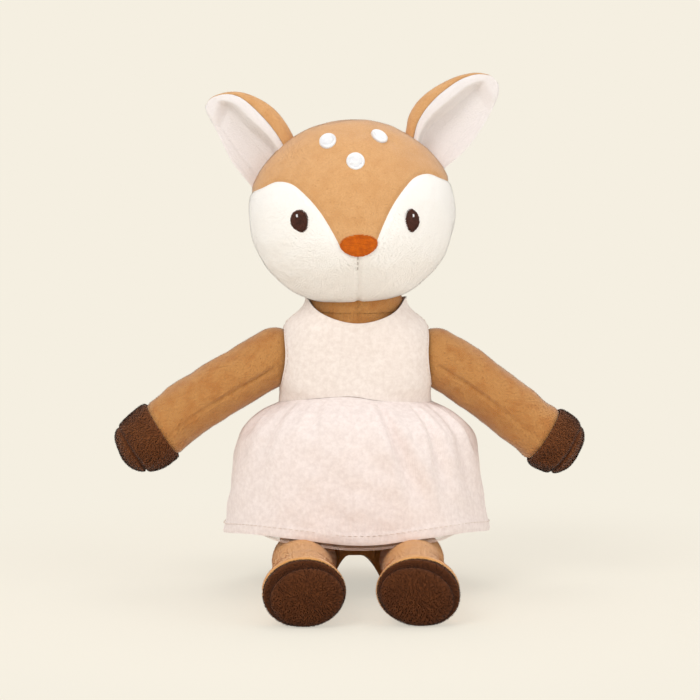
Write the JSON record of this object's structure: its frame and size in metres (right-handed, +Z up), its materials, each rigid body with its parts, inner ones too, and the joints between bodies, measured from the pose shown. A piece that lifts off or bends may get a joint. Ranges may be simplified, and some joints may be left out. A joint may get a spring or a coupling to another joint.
{
  "type": "plush deer",
  "caption": "Seated stuffed fawn with floppy jointed limbs, upright ears, embroidered face and a gathered sleeveless dress.",
  "frame": {"origin": "middle of the flat seat, on the surface the toy sits on", "axes": "+Z up, -Y the way the toy faces, +X its left side"},
  "size_m": [0.2426, 0.1716, 0.2666],
  "materials": {
    "plush_caramel": "short dense pile, laid along the limbs",
    "plush_pale_caramel": "short smooth pile",
    "plush_cream": "short smooth pile",
    "plush_hoof": "short dense pile",
    "linen": "plain weave with fine slubs",
    "tulle": "open hexagonal net",
    "thread_orange": "satin stitch",
    "thread_brown": "satin stitch",
    "thread_white": "satin stitch",
    "filling": "loose polyester fibre",
    "pellets": "pellets in a plain bag",
    "touch_tape": "hook and loop tape"
  },
  "bodies": {
    "torso": {"body_cover": "plush_caramel", "body_stuffing": "filling", "seat_pellet_bag": "pellets", "bodice_front": "linen", "bodice_back_left": "linen", "bodice_back_right": "linen", "closure_tape": "touch_tape", "back_placket": "linen", "skirt": "linen", "tulle_underskirt": "tulle"},
    "tail": {"tail": "plush_caramel"},
    "neck": {"neck": "plush_caramel"},
    "head": {"forehead_panel": "plush_pale_caramel", "left_cheek_panel": "plush_cream", "right_cheek_panel": "plush_cream", "head_back_left": "plush_pale_caramel", "head_back_right": "plush_pale_caramel", "head_stuffing": "filling", "nose": "thread_orange", "muzzle_stitch": "thread_brown", "left_eye": "thread_brown", "right_eye": "thread_brown", "left_forehead_spot": "thread_white", "right_forehead_spot": "thread_white", "middle_forehead_spot": "thread_white"},
    "left_ear": {"left_ear_back": "plush_caramel", "left_ear_lining": "plush_cream"},
    "left_shoulder": {"left_shoulder_fill": "filling"},
    "left_arm": {"left_arm_cover": "plush_caramel", "left_arm_hoof": "plush_hoof", "left_arm_stuffing": "filling"},
    "left_hip": {"left_hip_fill": "filling"},
    "left_leg": {"left_leg_cover": "plush_caramel", "left_leg_hoof": "plush_hoof", "left_leg_stuffing": "filling"},
    "right_ear": {"right_ear_back": "plush_caramel", "right_ear_lining": "plush_cream"},
    "right_shoulder": {"right_shoulder_fill": "filling"},
    "right_arm": {"right_arm_cover": "plush_caramel", "right_arm_hoof": "plush_hoof", "right_arm_stuffing": "filling"},
    "right_hip": {"right_hip_fill": "filling"},
    "right_leg": {"right_leg_cover": "plush_caramel", "right_leg_hoof": "plush_hoof", "right_leg_stuffing": "filling"}
  },
  "joints": [
    {"name": "tail_bend", "type": "hinge", "parent": "torso", "child": "tail", "pos_m": [0, 0.03946, 0.042], "axis": [1, 0, 0], "range_deg": [-8, 8], "stiffness_Nm_per_rad": 0.02},
    {"name": "neck_turn", "type": "hinge", "parent": "torso", "child": "neck", "pos_m": [0, 0, 0.1504], "axis": [0, 0, 1], "range_deg": [-30, 30], "stiffness_Nm_per_rad": 0.8},
    {"name": "head_nod", "type": "hinge", "parent": "neck", "child": "head", "pos_m": [0, 0, 0.1504], "axis": [1, 0, 0], "range_deg": [-12, 10], "stiffness_Nm_per_rad": 1.5},
    {"name": "left_ear_bend", "type": "hinge", "parent": "head", "child": "left_ear", "pos_m": [0.03859, -0.00003, 0.22634], "axis": [0.7096, 0, -0.7046], "range_deg": [-15, 15], "stiffness_Nm_per_rad": 0.03},
    {"name": "left_arm_lift", "type": "hinge", "parent": "torso", "child": "left_shoulder", "pos_m": [0.0395, -0.002, 0.1172], "axis": [0, -1, 0], "range_deg": [-3, 65], "stiffness_Nm_per_rad": 0.45},
    {"name": "left_arm_swing", "type": "hinge", "parent": "left_shoulder", "child": "left_arm", "pos_m": [0.0395, -0.002, 0.1172], "axis": [0, 0, -1], "range_deg": [-25, 30], "stiffness_Nm_per_rad": 0.3},
    {"name": "left_leg_swing", "type": "hinge", "parent": "torso", "child": "left_hip", "pos_m": [0.027, -0.028, 0.017], "axis": [1, 0, 0], "range_deg": [0, 85], "stiffness_Nm_per_rad": 0.3},
    {"name": "left_leg_spread", "type": "hinge", "parent": "left_hip", "child": "left_leg", "pos_m": [0.027, -0.028, 0.017], "axis": [0, 0, 1], "range_deg": [0, 18], "stiffness_Nm_per_rad": 0.3},
    {"name": "right_ear_bend", "type": "hinge", "parent": "head", "child": "right_ear", "pos_m": [-0.04632, -0.00003, 0.22189], "axis": [-0.6321, 0, -0.7749], "range_deg": [-15, 15], "stiffness_Nm_per_rad": 0.03},
    {"name": "right_arm_lift", "type": "hinge", "parent": "torso", "child": "right_shoulder", "pos_m": [-0.0395, -0.002, 0.1172], "axis": [0, 1, 0], "range_deg": [-3, 65], "stiffness_Nm_per_rad": 0.45},
    {"name": "right_arm_swing", "type": "hinge", "parent": "right_shoulder", "child": "right_arm", "pos_m": [-0.0395, -0.002, 0.1172], "axis": [0, 0, 1], "range_deg": [-25, 30], "stiffness_Nm_per_rad": 0.3},
    {"name": "right_leg_swing", "type": "hinge", "parent": "torso", "child": "right_hip", "pos_m": [-0.027, -0.028, 0.017], "axis": [1, 0, 0], "range_deg": [0, 85], "stiffness_Nm_per_rad": 0.3},
    {"name": "right_leg_spread", "type": "hinge", "parent": "right_hip", "child": "right_leg", "pos_m": [-0.027, -0.028, 0.017], "axis": [0, 0, -1], "range_deg": [0, 18], "stiffness_Nm_per_rad": 0.3}
  ]
}
